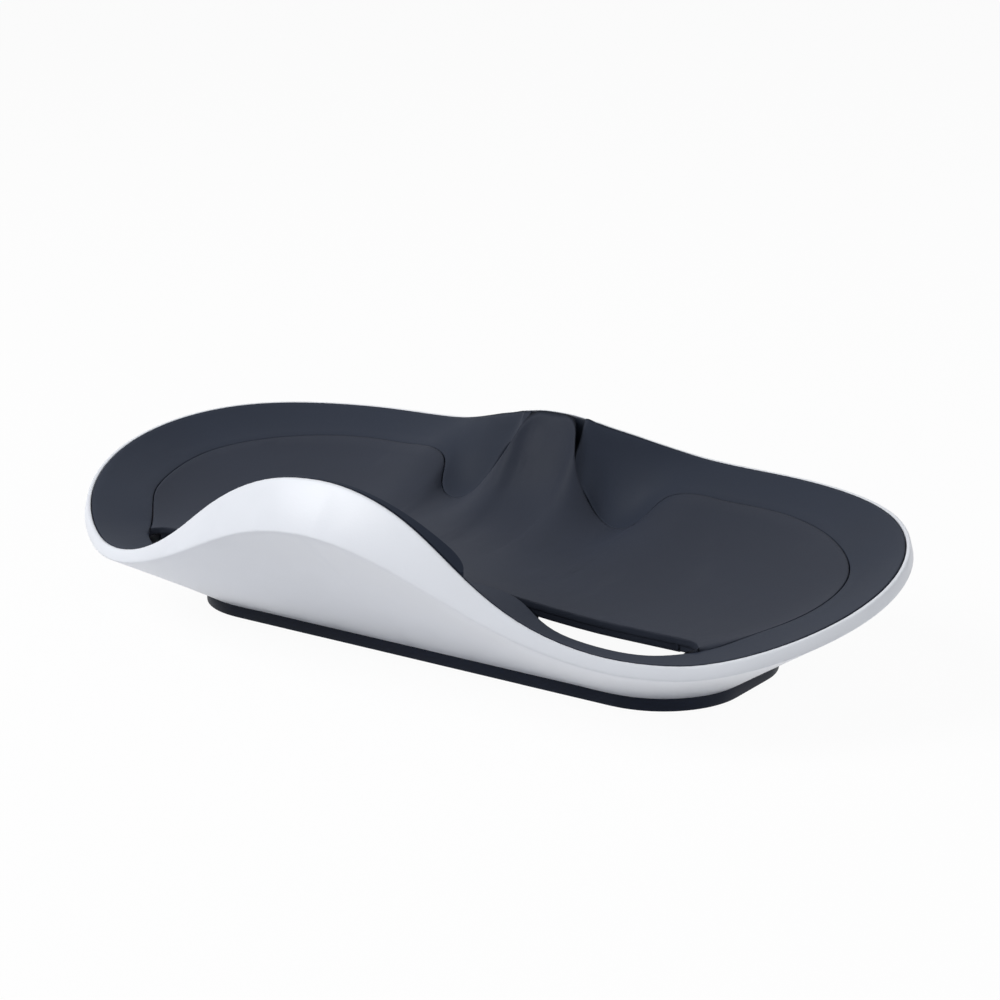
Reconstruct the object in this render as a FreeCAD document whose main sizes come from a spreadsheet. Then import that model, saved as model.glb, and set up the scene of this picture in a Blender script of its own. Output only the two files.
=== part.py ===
import FreeCAD
import Part

import math
import os

import Sketcher

V = FreeCAD.Vector
SEW = 0.001
HALVINGS = 40
doc = FreeCAD.newDocument("controller_charging_station")

# Driving dimensions, in millimetres.
# Heights are above the table. Distances back are from the rim's front line, at the top of the hump.
# The shape is drawn for a rim 145 to each side and 142 deep, a hump that stands 38.6 above the floor
# panel behind it, and a slope of 74.62 down its front. Wide, deep, tall and along stretch what is
# drawn to the sizes asked for.
SIZES = [
    ("rim_half_width", 145.0, "middle to the end of a lobe, at the rim"),
    ("rim_depth", 142.0, "front of the rim to its back"),
    ("hump_height", 69.0, "rim at the front, over the hump"),
    ("tray_middle_height", 30.4, "floor panel's front edge behind the hump"),
    ("wide", "=rim_half_width / 145", "stretch across"),
    ("deep", "=rim_depth / 142", "stretch from front to back"),
    ("tall", "=(hump_height - tray_middle_height) / 38.6", "stretch of the hump's back"),
    ("dip_height", 27.2, "rim at the front, lowest beside the hump"),
    ("rear_height", 50.0, "rim along the back of each lobe"),
    ("ridge_height", 63.5, "rim at the back, over the tongue"),
    ("rim_width", 1.3, "white edge that shows round the dark lining"),
    ("edge_lean", 2.6, "crease outside the rim, at the sides"),
    ("edge_drop", 3.8, "crease below the rim, at the sides"),
    ("hump_lean", 10.3, "crease outside the rim, on the hump"),
    ("hump_drop", 14.3, "crease below the rim, on the hump"),
    ("shell_wall", 2.0, "wall of the white shell"),
    ("shell_foot", 4.6, "lower edge of the shell above the table"),
    ("shell_overhang", 0.5, "shell's lower edge outside the base"),
    ("lining_wall", 2.2, "wall of the dark lining, measured upright"),
    ("floor_wall", 2.2, "wall of the floor panel, measured upright"),
    ("rim_gap", 0.35, "gap between the lining and the shell's white edge"),
    ("seam_gap", 0.4, "gap between the lining and the floor panel"),
    ("fit_gap", 0.2, "gap round a piece that drops into another"),
    ("tray_front", "=45 * deep", "rim's front line to the floor panel's front edge"),
    ("tray_front_height", 26.4, "floor panel's front edge beside the openings"),
    ("bump_reach", "=75 * wide", "middle to where that edge has sunk from the one height to the other"),
    ("bowl_sag", 2.0, "how far the floor panel dips between its edges"),
    ("hem_height", 4.4, "turned-down front edge of the floor panel"),
    ("hem_wall", 2.0, "thickness of that edge"),
    ("hem_setback", 0.2, "hem behind the panel's front edge"),
    ("hem_half_width", "=96 * wide", "middle to the end of the hem"),
    ("base_half_width", "=100 * wide", "middle to the end of the base"),
    ("base_front", "=45 * deep", "rim's front line to the base's front"),
    ("base_depth", "=74 * deep", "front to back of the base"),
    ("base_corner", 27.3, "corner radius of the base"),
    ("base_wall", 3.6, "wall of the base ring"),
    ("base_plate", 2.0, "floor of the base"),
    ("spigot_height", 6.0, "upstand of the base inside the shell"),
    ("spigot_inset", 1.8, "base's edge to that upstand"),
    ("window_inner", 5.5, "middle to the near side of each window in the base"),
    ("window_outer", "=87.5 * wide", "middle to the far side of each window"),
    ("window_front", "=57 * deep", "rim's front line to the front of the windows"),
    ("window_back", "=112.5 * deep", "rim's front line to the back of the windows"),
    ("window_corner", 6.0, "corner radius of the windows"),
    ("post_radius", 3.2, "screw post under the floor panel"),
    ("post_across", "=92 * wide", "middle to the screw posts"),
    ("post_front", "=68 * deep", "rim's front line to the front screw posts"),
    ("post_back", "=94 * deep", "rim's front line to the back screw posts"),
    ("screw_radius", 1.2, "shank of a base screw"),
    ("screw_head_radius", 2.5, "head of a base screw"),
    ("screw_head", 1.2, "thickness of that head"),
    ("screw_length", 10.0, "shank of a base screw"),
    ("foot_recess", 0.8, "how far a foot strip is let into the base"),
    ("foot_proud", 0.4, "how far a foot strip stands below the base"),
    ("foot_width", 4.4, "width of a foot strip"),
    ("foot_inner", "=39 * wide", "middle to the near end of a foot strip"),
    ("foot_length", "=34 * wide", "length of a foot strip"),
    ("foot_edge", 0.8, "foot strip inside the base's edge"),
    ("socket_across", "=60.5 * wide", "middle to a charging socket"),
    ("socket_back", "=10.4 * deep", "rim's front line to a charging socket"),
    ("socket_straight", 2.75, "half of the straight part of a socket's side"),
    ("socket_radius", 4.25, "round ends of a socket's opening"),
    ("socket_depth", 2.9, "surface of the lining to the socket's floor"),
    ("socket_wall", 0.7, "wall of a socket cup"),
    ("socket_lip", 0.25, "edge of the cup above the lining"),
    ("block_length", 8.6, "insulator under the contact pins"),
    ("block_width", 3.4, "insulator under the contact pins, across"),
    ("block_height", 0.8, "insulator above the socket's floor"),
    ("pin_radius", 0.45, "contact pin"),
    ("pin_spacing", 2.1, "between two contact pins"),
    ("pin_proud", 0.7, "contact pin above its insulator"),
    ("slope", "=sqrt((base_front + hump_lean)^2 + (hump_height - hump_drop - shell_foot)^2)",
     "crease to the shell's lower edge, down the slope of the hump"),
    ("along", "=slope / 74.62", "stretch down the slope"),
    ("carrier_start", "=20 * along", "crease to the carrier's upper end, down the slope"),
    ("carrier_length", 46.0, "board carrier down the slope of the hump"),
    ("carrier_half_width", "=38 * wide", "middle to the side of the carrier"),
    ("carrier_lift", 1.9, "outside of the shell to the carrier's underside"),
    ("carrier_wall", 1.0, "floor of the carrier"),
    ("leg_reach", 3.0, "carrier's legs below the shell's outside, before they are cut to it"),
    ("standoff_height", 0.8, "board above the carrier's floor"),
    ("standoff_radius", 2.4, "standoff under a corner of the board"),
    ("board_start", "=27 * along", "crease to the board's upper edge, down the slope"),
    ("board_length", 32.0, "main board down the slope"),
    ("board_half_width", "=33 * wide", "middle to the side of the main board"),
    ("board_thickness", 1.0, "main board"),
    ("board_margin", 3.0, "board's edge to its screws"),
    ("board_screw_radius", 0.9, "shank of a board screw"),
    ("board_screw_head_radius", 1.8, "head of a board screw"),
    ("board_screw_head", 0.9, "thickness of that head"),
    ("plug_length", 6.0, "lead connector on the board"),
    ("plug_width", 4.0, "lead connector on the board, down the slope"),
    ("plug_place", "=39 * along", "crease to the side connectors, down the slope"),
    ("plug_height", 2.2, "lead connector above the board"),
    ("cover_back", "=tray_front + 5.5", "rim's front line to the bay cover"),
    ("cover_wall", 1.6, "bay cover"),
    ("cover_half_width", "=42 * wide", "middle to the side of the bay cover"),
    ("cover_notch", 3.0, "half width of the notch for the inlet's lead"),
    ("cover_notch_height", 13.0, "height of that notch"),
    ("inlet_height", 17.0, "middle of the power inlet above the table"),
    ("inlet_half_width", 4.8, "middle to the side of the inlet's body"),
    ("inlet_front", "=base_front + base_depth - 14", "rim's front line to the inlet's body"),
    ("inlet_length", 13.0, "body of the power inlet, front to back"),
    ("inlet_nose_radius", 4.0, "round nose of the inlet, in the shell"),
    ("inlet_nose_length", 2.5, "that nose, front to back"),
    ("inlet_bore_radius", 2.8, "bore of the power inlet"),
    ("inlet_bore_depth", 11.0, "depth of that bore"),
    ("inlet_pin_radius", 0.9, "centre pin of the inlet"),
    ("inlet_pin_length", 9.0, "length of that pin"),
    ("inlet_rest", 4.0, "half width of the block under the inlet"),
    ("socket_lead_radius", 0.6, "lead to a charging socket"),
    ("lead_depth", 2.85, "surface of the lining to the middle of that lead"),
    ("lead_stub", 4.0, "straight start of a lead, at its socket or at the inlet"),
    ("side_plug_stub", 2.5, "straight end of a socket's lead, at the board"),
    ("inlet_plug_stub", 5.0, "straight end of the inlet's lead, at the board"),
    ("inlet_lead_radius", 1.0, "lead from the power inlet"),
    ("pad_gap", 0.1, "pad on the hump below the rim"),
    ("pad_half_width", "=49.5 * wide", "middle to the end of that pad"),
    ("pad_middle", 1.2, "width of the pad in the middle"),
    ("pad_end", 5.6, "width of the pad near its ends"),
]
sheet = doc.addObject("Spreadsheet::Sheet", "Sizes")
for row, (name, value, note) in enumerate(SIZES, start=1):
    sheet.set("A%d" % row, name)
    sheet.set("B%d" % row, str(value))
    sheet.setAlias("B%d" % row, name)
    sheet.set("C%d" % row, note)
doc.recompute()


def size(name):
    return float(sheet.get(name))


def total(*terms):
    """A sum of named sizes. A name after a minus sign is taken off."""
    value = 0.0
    for term in terms:
        value += -size(term[1:]) if term.startswith("-") else size(term)
    return value


def formula(*terms):
    """The same sum, as the expression that ties a property to the sheet."""
    text = ""
    for term in terms:
        text += " - Sizes." + term[1:] if term.startswith("-") else " + Sizes." + term
    return text[3:] if text.startswith(" + ") else text


def tie(thing, **properties):
    for name, terms in properties.items():
        thing.setExpression(name, formula(*terms))


# Stations round half of the rim, from the front middle to the back middle.
# Across and back are shares of the half width and the depth. Rise is the share of the way from the
# lower to the higher of the two heights that the stretch joins. Inset and drop, in millimetres, lead
# from the rim to the inner edge of the lining.
FRONT = [
    (0.000, 0.000, 1.000, 45.0, 38.6),
    (0.112, 0.000, 0.955, 45.0, 36.9),
    (0.213, 0.000, 0.825, 45.0, 32.0),
    (0.299, 0.001, 0.638, 43.5, 25.6),
    (0.379, 0.010, 0.429, 39.0, 19.0),
    (0.466, 0.028, 0.242, 31.5, 12.6),
    (0.559, 0.058, 0.106, 23.8, 7.2),
    (0.647, 0.095, 0.031, 18.4, 4.2),
    (0.714, 0.131, 0.005, 16.0, 2.8),
    (0.768, 0.168, 0.000, 16.3, 2.1),
]
SIDE = [
    (0.826, 0.211, 0.057, 18.7, 2.7),
    (0.892, 0.273, 0.184, 20.4, 3.3),
    (0.963, 0.379, 0.399, 19.7, 4.9),
    (1.000, 0.525, 0.649, 18.8, 7.7),
    (0.972, 0.688, 0.864, 16.6, 9.2),
    (0.875, 0.837, 0.983, 16.0, 9.1),
    (0.728, 0.944, 1.000, 15.0, 8.0),
    (0.564, 0.997, 0.995, 14.6, 7.3),
    (0.414, 1.000, 1.018, 15.4, 7.2),
]
REAR = [
    (0.324, 0.981, 0.156, 14.7, 8.3),
    (0.262, 0.958, 0.333, 15.5, 13.0),
    (0.214, 0.937, 0.496, 21.0, 21.7),
    (0.172, 0.920, 0.637, 21.3, 26.2),
    (0.134, 0.906, 0.748, 18.6, 25.2),
    (0.100, 0.894, 0.859, 15.2, 19.4),
    (0.0724, 0.887, 0.919, 9.7, 9.0),
    (0.0593, 0.8845, 0.948, 3.0, 0.8),
    (0.000, 0.879, 1.000, 0.0, 0.0),
]
LIP_END = len(FRONT) - 1
TONGUE_SIDE = len(FRONT) + len(SIDE) + len(REAR) - 2


class Station:
    """One place on the rim, the level way out from it, and what lies opposite it further in: the
    seam with the floor panel, and the lining's own edge beside that seam. Fall is the height from
    the rim to the seam, and drop is the height that was drawn."""

    def __init__(self, rim, hump, inset, drop):
        self.rim = rim
        self.hump = hump
        self.inset = V(inset * size("wide"), inset * size("deep"), 0)
        self.drop = drop
        self.fall = drop
        self.out = None
        self.seam = None
        self.edge = None


def half_stations():
    stations = []
    groups = (
        (FRONT, size("dip_height"), size("hump_height")),
        (SIDE, size("dip_height"), size("rear_height")),
        (REAR, size("rear_height"), size("ridge_height")),
    )
    for rows, low, high in groups:
        for across, back, rise, inset, drop in rows:
            rim = V(across * size("rim_half_width"), back * size("rim_depth"), low + rise * (high - low))
            stations.append(Station(rim, rise if rows is FRONT else 0.0, inset, drop))
    for s in stations[:len(FRONT)]:
        s.fall = s.drop * size("tall")
    for s, out in zip(stations, ways_out([s.rim for s in stations])):
        s.out = out
        s.seam = s.rim - V(out.x * s.inset.x, out.y * s.inset.y, s.fall)
    for s, out in zip(stations, ways_out([s.seam for s in stations])):
        s.edge = s.seam + out * size("seam_gap")
    return stations


def ways_out(points):
    """At each point of a half line round the object, the level direction that leads away from it."""
    ways = []
    for i, point in enumerate(points):
        before = points[i - 1] if i else flip(points[1])
        after = points[i + 1] if i < len(points) - 1 else flip(points[-2])
        ways.append(V(after.y - before.y, before.x - after.x, 0).normalize())
    return ways


def flip(point):
    """The same point on the left half."""
    return V(-point.x, point.y, point.z)


HALF = half_stations()


def ease(share):
    return share * share * (3.0 - 2.0 * share)


def closed_curve(points):
    """A smooth closed curve through the points of the right half and their mirror images."""
    curve = Part.BSplineCurve()
    curve.interpolate(Points=points + [flip(p) for p in points[-2:0:-1]], PeriodicFlag=True)
    return curve.toShape()


def skin(rows):
    """A smooth surface through rows of points."""
    surface = Part.BSplineSurface()
    surface.interpolate(rows)
    return surface.toShape()


def feature(label, shape):
    """A piece whose shape is worked out here from the sheet's values."""
    piece = doc.addObject("Part::Feature", label)
    piece.Label = label
    piece.Shape = shape
    return piece


def down(length):
    return V(0, 0, -length)


# The white shell: the rim edge, a bevel down to the crease, and the face that runs in to the base.
LEAN_POWER = 2.5
INNER_CREASE_RISE = 0.35


def crease_point(s, inset):
    lean = size("edge_lean") + (size("hump_lean") - size("edge_lean")) * s.hump ** LEAN_POWER
    drop = size("edge_drop") + (size("hump_drop") - size("edge_drop")) * ease(s.hump)
    return s.rim + s.out * (lean - inset) - V(0, 0, drop)


def base_outline_point(s, grow):
    """Where the rounded outline of the base, grown by so much, is met on the way out to a station."""
    half_x = size("base_half_width") + grow
    half_y = size("base_depth") / 2 + grow
    corner = size("base_corner") + grow
    crease = crease_point(s, 0)
    towards_x = crease.x / size("rim_half_width") * half_x
    towards_y = (2 * crease.y / size("rim_depth") - 1) * half_y
    inside, outside = 0.0, 4.0
    for halving in range(HALVINGS):
        middle = (inside + outside) / 2
        past_x = abs(towards_x) * middle - (half_x - corner)
        past_y = abs(towards_y) * middle - (half_y - corner)
        reach = max(past_x, past_y) if min(past_x, past_y) < 0 else math.hypot(past_x, past_y)
        if reach <= corner:
            inside = middle
        else:
            outside = middle
    middle_y = size("base_front") + size("base_depth") / 2
    return V(towards_x * inside, middle_y + towards_y * inside, size("shell_foot"))


def shell_shape():
    wall = size("shell_wall")
    over = size("shell_overhang")
    loops = [
        [s.rim + s.out * total("rim_gap", "rim_width") for s in HALF],
        [crease_point(s, 0) for s in HALF],
        [base_outline_point(s, over) for s in HALF],
        [base_outline_point(s, over - wall) for s in HALF],
        [crease_point(s, wall) + V(0, 0, INNER_CREASE_RISE * wall) for s in HALF],
        [s.rim + s.out * size("rim_gap") for s in HALF],
    ]
    curves = [closed_curve(points) for points in loops]
    faces = [Part.makeRuledSurface(a, b) for a, b in zip(curves, curves[1:] + curves[:1])]
    skins = Part.makeCompound(faces)
    skins.sewShape()
    solid = Part.Solid(Part.Shell(skins.Faces))
    if solid.Volume < 0:
        solid.reverse()
    return solid


# The dark lining: from the rim in to the seam, down into the two pockets beside the tongue, and
# forward over the hump's back and the lip in front of each opening. It is dished between the two,
# by a share of the drop that grows from shallow to deep until the drop is full.
SHALLOW_DISH = 0.04
DEEP_DISH = 0.24
FULL_DROP = 26.0
LINING_SHARES = (0.0, 0.3, 0.65, 1.0)


def lining_face():
    lines = []
    for share in LINING_SHARES:
        points = []
        for s in HALF[:TONGUE_SIDE]:
            dish = SHALLOW_DISH + (DEEP_DISH - SHALLOW_DISH) * min(s.drop / FULL_DROP, 1.0)
            hollow = 4 * dish * share * (1 - share)
            place = s.rim + (s.edge - s.rim) * share
            points.append(V(place.x, place.y, s.rim.z - s.fall * share - s.drop * hollow))
        lines.append([flip(p) for p in points[:0:-1]] + points)
    return skin(lines)


# The floor panel: two bowls with the tongue between them. Its front edge stands opposite each
# station of the seam, so far across and so far behind the tray's front line. From there the panel
# climbs to the seam as the given power of the share of the way.
FLOOR_FRONT = [
    (105.1, -5.4, 1.5),
    (104.3, -3.4, 1.5),
    (102.4, -1.5, 1.6),
    (99.6, -0.3, 1.8),
    (96.5, 0.0, 2.0),
    (93.0, 0.0, 2.0),
    (88.0, 0.0, 2.0),
    (79.0, 0.0, 2.0),
    (66.0, 0.0, 2.0),
    (50.5, 0.0, 2.0),
    (41.5, 0.0, 2.1),
    (36.0, 0.0, 2.4),
    (30.5, 0.0, 2.3),
    (25.0, 0.0, 2.0),
    (19.5, 0.0, 2.6),
    (14.5, 0.0, 4.0),
    (10.5, 0.0, 5.2),
    (7.0, 0.0, 5.4),
    (0.0, 0.0, 5.4),
]
FLOOR_SHARES = (0.0, 0.16, 0.34, 0.52, 0.68, 0.8, 0.9, 0.96, 1.0)


def floor_front_height(x):
    bump = ease(max(0.0, 1.0 - abs(x) / size("bump_reach")))
    return size("tray_front_height") + bump * total("tray_middle_height", "-tray_front_height")


def floor_face():
    columns = []
    for s, (across, back, power) in zip(HALF[LIP_END:], FLOOR_FRONT):
        top = s.seam
        front_x = across * size("wide")
        foot = V(front_x, size("tray_front") + back * size("deep"), floor_front_height(front_x))
        sag = 4 * size("bowl_sag") * abs(top.y - foot.y) / (size("rim_depth") - size("tray_front"))
        column = []
        for share in FLOOR_SHARES:
            place = foot + (top - foot) * share
            climb = (top.z - foot.z) * share ** power
            column.append(V(place.x, place.y, foot.z + climb - sag * share * (1 - share)))
        columns.append(column)
    return skin([[flip(p) for p in column] for column in columns[:-1]] + columns[::-1])


def floor_shape(face):
    """The panel with its hem, which starts inside the panel's wall and stands a little behind its edge."""
    start = size("floor_wall") / 2
    inner = face.copy()
    inner.translate(down(start))
    hem = inner.extrude(down(size("hem_height") - start))
    reach = size("hem_half_width")
    strip = Part.makeBox(2 * reach, size("hem_wall"), size("hump_height"),
                         V(-reach, total("tray_front", "hem_setback"), 0))
    return face.extrude(down(size("floor_wall"))).fuse(hem.common(strip))


# Sketches and the features made from them.
def new_body(label):
    body = doc.addObject("PartDesign::Body", label)
    body.Label = label
    return body


def level_sketch(body, name, *height):
    """A sketch on a body's own XY plane, lifted by a sum of sizes."""
    sketch = body.newObject("Sketcher::SketchObject", name)
    plane = [part for part in body.Origin.OriginFeatures if part.Role == "XY_Plane"][0]
    sketch.AttachmentSupport = [(plane, "")]
    sketch.MapMode = "FlatFace"
    if height:
        sketch.setExpression("AttachmentOffset.Base.z", formula(*height))
    return sketch


def opposite(terms):
    return [term[1:] if term.startswith("-") else "-" + term for term in terms]


def measure(sketch, kind, first, second, terms):
    """Holds two points of a sketch apart by a sum of sizes, whichever way round that is positive."""
    if total(*terms) < 0:
        first, second, terms = second, first, opposite(terms)
    number = sketch.addConstraint(Sketcher.Constraint(kind, *first, *second, total(*terms)))
    sketch.setExpression("Constraints[%d]" % number, formula(*terms))


ORIGIN = (-1, 1)
START, END, CENTRE = range(1, 4)


def hold_radius(sketch, arc, *terms):
    number = sketch.addConstraint(Sketcher.Constraint("Radius", arc, total(*terms)))
    sketch.setExpression("Constraints[%d]" % number, formula(*terms))


def draw_rectangle(sketch, left, right, front, back):
    """A rectangle whose four sides are sums of sizes from the sketch's origin."""
    x0, x1, y0, y1 = total(*left), total(*right), total(*front), total(*back)
    corners = [V(x0, y0, 0), V(x1, y0, 0), V(x1, y1, 0), V(x0, y1, 0)]
    lines = []
    for start, end in zip(corners, corners[1:] + corners[:1]):
        lines.append(sketch.addGeometry(Part.LineSegment(start, end), False))
    for i, line in enumerate(lines):
        sketch.addConstraint(Sketcher.Constraint("Coincident", line, END, lines[(i + 1) % 4], START))
        sketch.addConstraint(Sketcher.Constraint("Vertical" if i % 2 else "Horizontal", line))
    measure(sketch, "DistanceX", ORIGIN, (lines[3], START), left)
    measure(sketch, "DistanceX", ORIGIN, (lines[1], START), right)
    measure(sketch, "DistanceY", ORIGIN, (lines[0], START), front)
    measure(sketch, "DistanceY", ORIGIN, (lines[2], START), back)


def draw_rounded(sketch, left, right, front, back, corner):
    """The same with rounded corners."""
    x0, x1, y0, y1, r = total(*left), total(*right), total(*front), total(*back), total(*corner)
    sides = (
        (V(x0 + r, y0, 0), V(x1 - r, y0, 0)),
        (V(x1, y0 + r, 0), V(x1, y1 - r, 0)),
        (V(x1 - r, y1, 0), V(x0 + r, y1, 0)),
        (V(x0, y1 - r, 0), V(x0, y0 + r, 0)),
    )
    centres = (V(x1 - r, y0 + r, 0), V(x1 - r, y1 - r, 0), V(x0 + r, y1 - r, 0), V(x0 + r, y0 + r, 0))
    lines, arcs = [], []
    for i, ((start, end), centre) in enumerate(zip(sides, centres)):
        lines.append(sketch.addGeometry(Part.LineSegment(start, end), False))
        turn = math.radians(90 * (i - 1))
        circle = Part.Circle(centre, V(0, 0, 1), r)
        arcs.append(sketch.addGeometry(Part.ArcOfCircle(circle, turn, turn + math.pi / 2), False))
    for i in range(4):
        after = lines[(i + 1) % 4]
        sketch.addConstraint(Sketcher.Constraint("Tangent", lines[i], END, arcs[i], START))
        sketch.addConstraint(Sketcher.Constraint("Tangent", arcs[i], END, after, START))
    for arc in arcs[1:]:
        sketch.addConstraint(Sketcher.Constraint("Equal", arcs[0], arc))
    sketch.addConstraint(Sketcher.Constraint("Horizontal", lines[0]))
    sketch.addConstraint(Sketcher.Constraint("Vertical", lines[1]))
    hold_radius(sketch, arcs[0], *corner)
    measure(sketch, "DistanceX", ORIGIN, (lines[3], START), left)
    measure(sketch, "DistanceX", ORIGIN, (lines[1], START), right)
    measure(sketch, "DistanceY", ORIGIN, (lines[0], START), front)
    measure(sketch, "DistanceY", ORIGIN, (lines[2], START), back)


def draw_circle(sketch, across, back, *radius):
    centre = V(total(*across), total(*back), 0)
    circle = sketch.addGeometry(Part.Circle(centre, V(0, 0, 1), total(*radius)), False)
    measure(sketch, "DistanceX", ORIGIN, (circle, CENTRE), across)
    measure(sketch, "DistanceY", ORIGIN, (circle, CENTRE), back)
    hold_radius(sketch, circle, *radius)


def draw_long_round(sketch, straight, *radius):
    """Two half circles, so far to the left and right of the origin, and the lines between them."""
    half, r = total(straight), total(*radius)
    right = Part.ArcOfCircle(Part.Circle(V(half, 0, 0), V(0, 0, 1), r), -math.pi / 2, math.pi / 2)
    left = Part.ArcOfCircle(Part.Circle(V(-half, 0, 0), V(0, 0, 1), r), math.pi / 2, 1.5 * math.pi)
    chain = [
        sketch.addGeometry(Part.LineSegment(V(-half, -r, 0), V(half, -r, 0)), False),
        sketch.addGeometry(right, False),
        sketch.addGeometry(Part.LineSegment(V(half, r, 0), V(-half, r, 0)), False),
        sketch.addGeometry(left, False),
    ]
    for piece, after in zip(chain, chain[1:] + chain[:1]):
        sketch.addConstraint(Sketcher.Constraint("Tangent", piece, END, after, START))
    sketch.addConstraint(Sketcher.Constraint("PointOnObject", chain[1], CENTRE, -1))
    sketch.addConstraint(Sketcher.Constraint("PointOnObject", chain[3], CENTRE, -1))
    sketch.addConstraint(Sketcher.Constraint("Equal", chain[1], chain[3]))
    measure(sketch, "DistanceX", ORIGIN, (chain[1], CENTRE), [straight])
    measure(sketch, "DistanceX", (chain[3], CENTRE), ORIGIN, [straight])
    hold_radius(sketch, chain[1], *radius)


def add_pad(body, name, sketch, *height, downward=False):
    pad = body.newObject("PartDesign::Pad", name)
    pad.Profile = sketch
    pad.Reversed = downward
    tie(pad, Length=height)
    doc.recompute()
    return pad


def add_pocket(body, name, sketch, *depth, upward=False):
    """A pocket of a given depth, or right through when no depth is given."""
    before = body.Shape.Volume
    pocket = body.newObject("PartDesign::Pocket", name)
    pocket.Profile = sketch
    pocket.Reversed = upward
    if depth:
        tie(pocket, Length=depth)
    else:
        pocket.Type = "ThroughAll"
    doc.recompute()
    if body.Shape.Volume > before - 0.01:
        raise RuntimeError(name + " cuts nothing")
    return pocket


# Primitives bound to the sheet. Each stands in a frame: z up from it, x across.
HERE = FreeCAD.Placement()


def offset(frame, x=0.0, y=0.0, z=0.0):
    return frame.multiply(FreeCAD.Placement(V(x, y, z), FreeCAD.Rotation()))


def box(name, frame, **sides):
    piece = doc.addObject("Part::Box", name)
    tie(piece, **sides)
    piece.Placement = frame
    return piece


def cylinder(name, frame, **sides):
    piece = doc.addObject("Part::Cylinder", name)
    tie(piece, **sides)
    piece.Placement = frame
    return piece


def joined(label, pieces):
    fuse = doc.addObject("Part::MultiFuse", label)
    fuse.Label = label
    fuse.Shapes = pieces
    return fuse


def cut_from(label, base, tool):
    cut = doc.addObject("Part::Cut", label)
    cut.Label = label
    cut.Base = base
    cut.Tool = tool
    return cut


def surface_place(face, x, y):
    """A frame on a surface: z out of it, x along the rim."""
    upright = Part.makeLine(V(x, y, 0), V(x, y, 2 * size("hump_height")))
    point = upright.section(face).Vertexes[0].Point
    normal = face.Surface.normal(*face.Surface.parameter(point))
    if normal.z < 0:
        normal = -normal
    ahead = V(0, 1, 0).cross(normal).normalize()
    turn = FreeCAD.Rotation(ahead, normal.cross(ahead), normal, "ZXY")
    return FreeCAD.Placement(point, turn)


# Side names and their signs, for the pieces that stand on both sides.
SIDES = (("left", -1), ("right", 1))
lining_top = lining_face()
floor_top = floor_face()
sockets = {}
for side, sign in SIDES:
    sockets[side] = surface_place(lining_top, sign * size("socket_across"), size("socket_back"))

# The lining, with its two cut-outs for the sockets, and trimmed where the floor panel's edge bulges.
lining_solid = lining_top.extrude(down(size("lining_wall")))
for side, sign in SIDES:
    reach = total("socket_radius", "socket_wall", "fit_gap")
    depth = 2 * size("lining_wall")
    core = Part.makeBox(2 * size("socket_straight"), 2 * reach, 2 * depth,
                        V(-size("socket_straight"), -reach, -depth))
    ends = [Part.makeCylinder(reach, 2 * depth, V(x * size("socket_straight"), 0, -depth)) for x in (-1, 1)]
    hole = core.fuse(ends).removeSplitter()
    hole.Placement = sockets[side]
    lining_solid = lining_solid.cut(hole, SEW)
floor_zone = floor_top.copy()
floor_zone.translate(V(0, 0, size("hem_height")))
lining_solid = lining_solid.cut(floor_zone.extrude(down(3 * size("hem_height"))), SEW)
lining = feature("lining", max(lining_solid.Solids, key=lambda solid: solid.Volume))

# The floor panel stands on four screw posts. Each post runs up into the panel's wall.
middle_of_wall = floor_top.copy()
middle_of_wall.translate(down(size("floor_wall") / 2))
under_panel = middle_of_wall.extrude(down(2 * size("tray_middle_height")))
plate_top = total("foot_proud", "base_plate")
posts = []
for side, sign in SIDES:
    posts += [(sign * size("post_across"), size("post_front")), (sign * size("post_across"), size("post_back"))]
floor_solid = floor_shape(floor_top)
for x, y in posts:
    post = Part.makeCylinder(size("post_radius"), size("rear_height"), V(x, y, plate_top)).common(under_panel)
    floor_solid = floor_solid.fuse(post)
for x, y in posts:
    floor_solid = floor_solid.cut(Part.makeCylinder(size("screw_radius"), size("screw_length"), V(x, y, 0)))
floor_panel = feature("floor_panel", floor_solid)

# The outer shell, with the hole for the inlet's nose.
nose_hole = Part.makeCylinder(total("inlet_nose_radius", "fit_gap"), size("inlet_length"),
                              V(0, total("inlet_front", "inlet_length"), size("inlet_height")), V(0, 1, 0))
shell_solid = shell_shape().cut(nose_hole)
outer_shell = feature("outer_shell", shell_solid)

# The pad along the back of the hump's rim: level with the rim, and resting on the lining.
def smooth(points):
    curve = Part.BSplineCurve()
    curve.interpolate(points)
    return curve


def at_across(curve, x):
    """The point of a curve that runs from left to right, at a distance across."""
    low, high = curve.FirstParameter, curve.LastParameter
    for halving in range(HALVINGS):
        middle = (low + high) / 2
        if curve.value(middle).x < x:
            low = middle
        else:
            high = middle
    return curve.value(low)


def on_face(face, x, y):
    upright = Part.makeLine(V(x, y, 0), V(x, y, 2 * size("hump_height")))
    return upright.section(face).Vertexes[0].Point


PAD_STEPS = 12
WIDEST_SHARE = 0.9
WIDEN_POWER = 2.5
END_POWER = 14


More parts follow.
